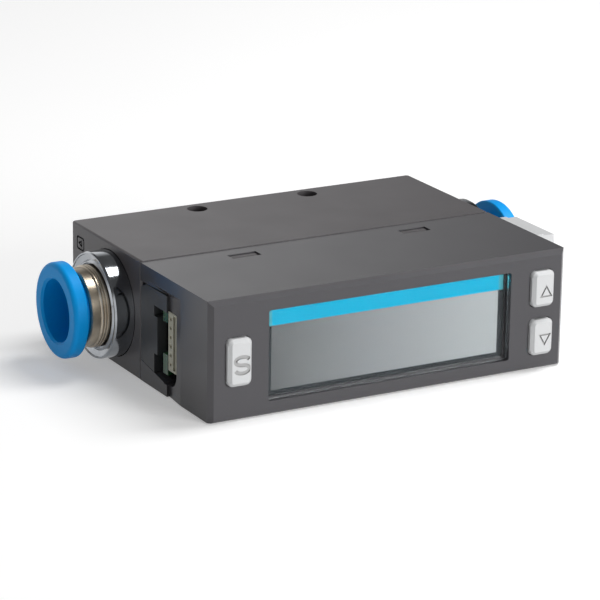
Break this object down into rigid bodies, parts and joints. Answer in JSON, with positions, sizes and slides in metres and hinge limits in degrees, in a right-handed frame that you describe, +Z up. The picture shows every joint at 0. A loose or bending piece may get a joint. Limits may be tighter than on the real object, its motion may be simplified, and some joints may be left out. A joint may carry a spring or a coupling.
{
  "type": "gas flow meter",
  "caption": "Compact digital gas flow meter with a push-in tube port at each end, a wide display with a light strip above it, and push keys on its front cover.",
  "frame": {"origin": "middle of the two mounting holes, on the underside of the flow body", "axes": "+X along the gas flow from the left port to the right port, -Y out of the display, +Z up"},
  "size_m": [0.0834, 0.0499, 0.0197],
  "materials": {
    "body_plastic": "moulded, fine matt texture",
    "cover_plastic": "moulded, fine matt texture",
    "chassis_plastic": "moulded, plain",
    "clear_lens": "polished",
    "cyan_film": "printed film",
    "black_plastic": "moulded",
    "display_glass": "smooth, grey",
    "white_plastic": "moulded",
    "circuit_board": "green solder resist",
    "black_rubber": "matt",
    "plated_steel": "zinc plated",
    "cap_plastic": "moulded, satin",
    "key_plastic": "moulded, satin",
    "ivory_plastic": "moulded",
    "gold_contact": "gold flash",
    "chromed_collar": "polished",
    "nickel_brass": "turned and nickel plated",
    "blue_plastic": "moulded, satin"
  },
  "bodies": {
    "meter": {"flow_body": "body_plastic", "front_cover": "cover_plastic", "chassis": "chassis_plastic", "display_lens": "clear_lens", "tint_strip": "cyan_film", "display_frame": "black_plastic", "display_glass": "display_glass", "light_guide": "white_plastic", "display_board": "circuit_board", "main_board": "circuit_board", "sensor_board": "circuit_board", "key_switches": "black_plastic", "display_link": "black_plastic", "sensor_link": "black_plastic", "flow_sensor": "black_plastic", "sensor_gasket": "black_rubber", "board_screws": "plated_steel", "flow_element": "white_plastic", "blanking_cap": "cap_plastic", "side_socket_left": "ivory_plastic", "side_socket_right": "ivory_plastic", "socket_pins_left": "gold_contact", "socket_pins_right": "gold_contact", "mesh_screen_left": "plated_steel", "mesh_screen_right": "plated_steel", "port_collar_left": "chromed_collar", "port_collar_right": "chromed_collar", "sealing_ring_left": "black_rubber", "sealing_ring_right": "black_rubber", "fitting_barrel_left": "nickel_brass", "fitting_barrel_right": "nickel_brass", "grip_ring_left": "plated_steel", "grip_ring_right": "plated_steel", "tube_seal_left": "black_rubber", "tube_seal_right": "black_rubber"},
    "set_key": {"key_s": "key_plastic", "plunger_s": "black_plastic"},
    "up_key": {"key_up": "key_plastic", "plunger_up": "black_plastic"},
    "down_key": {"key_down": "key_plastic", "plunger_down": "black_plastic"},
    "left_release": {"release_ring_left": "blue_plastic"},
    "right_release": {"release_ring_right": "blue_plastic"}
  },
  "joints": [
    {"name": "set_press", "type": "slide", "parent": "meter", "child": "set_key", "axis": [0, 1, 0], "range_m": [0, 0.00035], "stiffness_N_per_m": 600},
    {"name": "up_press", "type": "slide", "parent": "meter", "child": "up_key", "axis": [0, 1, 0], "range_m": [0, 0.00035], "stiffness_N_per_m": 600},
    {"name": "down_press", "type": "slide", "parent": "meter", "child": "down_key", "axis": [0, 1, 0], "range_m": [0, 0.00035], "stiffness_N_per_m": 600},
    {"name": "left_release_push", "type": "slide", "parent": "meter", "child": "left_release", "axis": [1, 0, 0], "range_m": [0, 0.001], "stiffness_N_per_m": 2000},
    {"name": "right_release_push", "type": "slide", "parent": "meter", "child": "right_release", "axis": [-1, 0, 0], "range_m": [0, 0.001], "stiffness_N_per_m": 2000}
  ]
}
